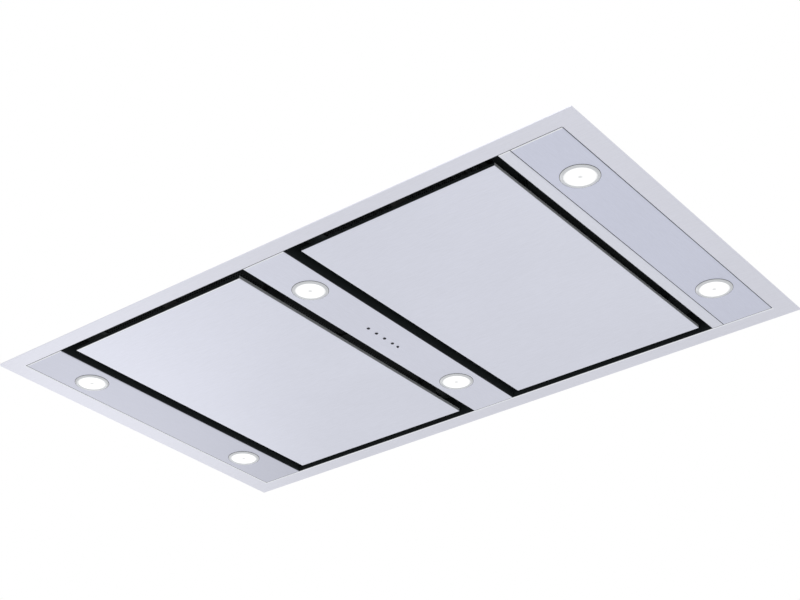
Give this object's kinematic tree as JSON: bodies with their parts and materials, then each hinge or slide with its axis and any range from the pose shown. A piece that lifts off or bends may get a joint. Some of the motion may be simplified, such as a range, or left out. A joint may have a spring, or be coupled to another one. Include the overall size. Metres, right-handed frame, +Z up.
{
  "type": "ceiling range hood",
  "caption": "Flush ceiling hood: a steel flange with drop-down perimeter panels, lamp strips and push buttons, over a plenum and blower box.",
  "frame": {"origin": "centre of the four hanger holes, on the upper faces of the hanger brackets", "axes": "+X along the flange's length, +Y away from the button side towards the duct collar, +Z up"},
  "size_m": [1.2, 0.7, 0.3175],
  "materials": {
    "face_steel": "fine brushed stainless steel",
    "strip_steel": "fine brushed stainless steel",
    "panel_steel": "fine brushed stainless steel",
    "black_sheet": "matt black powder coat",
    "galvanised_sheet": "galvanised sheet",
    "filter_aluminium": "mill finish",
    "sink_aluminium": "extruded",
    "lamp_metal": "satin nickel",
    "lamp_glass": "frosted, lit from behind",
    "bright_steel": "zinc plated",
    "black_plastic": "moulded, fine grain",
    "gloss_black": "moulded, polished",
    "driver_case": "moulded",
    "motor_paint": "satin black",
    "board_green": "solder resist"
  },
  "bodies": {
    "casing": {"flange_frame": "face_steel", "hinge_rail": "face_steel", "strip_left": "strip_steel", "strip_centre": "strip_steel", "strip_right": "strip_steel", "filter_frame_left": "black_sheet", "filter_frame_right": "black_sheet", "hinge_brackets": "black_sheet", "plenum_side_walls": "galvanised_sheet", "plenum_end_walls": "galvanised_sheet", "plenum_deck": "galvanised_sheet", "blower_box": "galvanised_sheet", "hanger_brackets": "galvanised_sheet", "volute_band": "galvanised_sheet", "volute_cheek_left": "galvanised_sheet", "volute_cheek_right": "galvanised_sheet", "motor_bracket": "galvanised_sheet", "duct_collar": "galvanised_sheet", "filter_rim_1": "filter_aluminium", "filter_rim_2": "filter_aluminium", "filter_rim_3": "filter_aluminium", "filter_rim_4": "filter_aluminium", "filter_meshes_left": "filter_aluminium", "filter_meshes_right": "filter_aluminium", "lamp_modules": "sink_aluminium", "lamp_ring_1": "lamp_metal", "lamp_ring_2": "lamp_metal", "lamp_ring_3": "lamp_metal", "lamp_ring_4": "lamp_metal", "lamp_ring_5": "lamp_metal", "lamp_ring_6": "lamp_metal", "lamp_lenses": "lamp_glass", "flap_pins": "bright_steel", "hinge_pins": "bright_steel", "casing_screws": "bright_steel", "button_housing": "black_plastic", "terminal_box": "black_plastic", "cable_gland": "black_plastic", "catch_magnets": "black_plastic", "remote_receiver": "gloss_black", "lamp_driver": "driver_case", "fan_motor": "motor_paint", "control_board": "board_green"},
    "panel_left": {"panel_left": "panel_steel", "panel_back_left": "black_sheet"},
    "panel_right": {"panel_right": "panel_steel", "panel_back_right": "black_sheet"},
    "fan_rotor": {"impeller": "black_plastic", "fan_shaft": "bright_steel"},
    "flap_left": {"flap_left": "black_plastic"},
    "flap_right": {"flap_right": "black_plastic"},
    "filter_latch_1": {"filter_latch_1": "black_plastic"},
    "push_button_1": {"push_button_1": "gloss_black"},
    "filter_latch_2": {"filter_latch_2": "black_plastic"},
    "push_button_2": {"push_button_2": "gloss_black"},
    "filter_latch_3": {"filter_latch_3": "black_plastic"},
    "push_button_3": {"push_button_3": "gloss_black"},
    "filter_latch_4": {"filter_latch_4": "black_plastic"},
    "push_button_4": {"push_button_4": "gloss_black"}
  },
  "joints": [
    {"name": "panel_left_hinge", "type": "hinge", "parent": "casing", "child": "panel_left", "pos_m": [-0.442, 0, -0.139], "axis": [0, 1, 0], "range_deg": [0, 85]},
    {"name": "panel_right_hinge", "type": "hinge", "parent": "casing", "child": "panel_right", "pos_m": [0.4265, 0, -0.139], "axis": [0, -1, 0], "range_deg": [0, 85]},
    {"name": "fan_spin", "type": "hinge", "parent": "casing", "child": "fan_rotor", "pos_m": [0, -0.02, 0], "axis": [1, 0, 0], "continuous": true},
    {"name": "flap_left_hinge", "type": "hinge", "parent": "casing", "child": "flap_left", "pos_m": [-0.00345, 0.184, 0.07105], "axis": [0, 0, -1], "range_deg": [0, 75], "stiffness_Nm_per_rad": 0.01, "springref_deg": -17.19},
    {"name": "flap_right_hinge", "type": "hinge", "parent": "casing", "child": "flap_right", "pos_m": [0.00345, 0.184, 0.07105], "axis": [0, 0, 1], "range_deg": [0, 75], "stiffness_Nm_per_rad": 0.01, "springref_deg": -17.19},
    {"name": "filter_latch_1_slide", "type": "slide", "parent": "casing", "child": "filter_latch_1", "axis": [0, 1, 0], "range_m": [0, 0.007], "stiffness_N_per_m": 400, "springref_m": -0.004},
    {"name": "filter_latch_2_slide", "type": "slide", "parent": "casing", "child": "filter_latch_2", "axis": [0, -1, 0], "range_m": [0, 0.007], "stiffness_N_per_m": 400, "springref_m": -0.004},
    {"name": "filter_latch_3_slide", "type": "slide", "parent": "casing", "child": "filter_latch_3", "axis": [0, 1, 0], "range_m": [0, 0.007], "stiffness_N_per_m": 400, "springref_m": -0.004},
    {"name": "filter_latch_4_slide", "type": "slide", "parent": "casing", "child": "filter_latch_4", "axis": [0, -1, 0], "range_m": [0, 0.007], "stiffness_N_per_m": 400, "springref_m": -0.004},
    {"name": "push_button_1_press", "type": "slide", "parent": "casing", "child": "push_button_1", "axis": [0, 0, 1], "range_m": [0, 0.0012], "stiffness_N_per_m": 600, "springref_m": -0.0015},
    {"name": "push_button_2_press", "type": "slide", "parent": "casing", "child": "push_button_2", "axis": [0, 0, 1], "range_m": [0, 0.0012], "stiffness_N_per_m": 600, "springref_m": -0.0015},
    {"name": "push_button_3_press", "type": "slide", "parent": "casing", "child": "push_button_3", "axis": [0, 0, 1], "range_m": [0, 0.0012], "stiffness_N_per_m": 600, "springref_m": -0.0015},
    {"name": "push_button_4_press", "type": "slide", "parent": "casing", "child": "push_button_4", "axis": [0, 0, 1], "range_m": [0, 0.0012], "stiffness_N_per_m": 600, "springref_m": -0.0015}
  ]
}
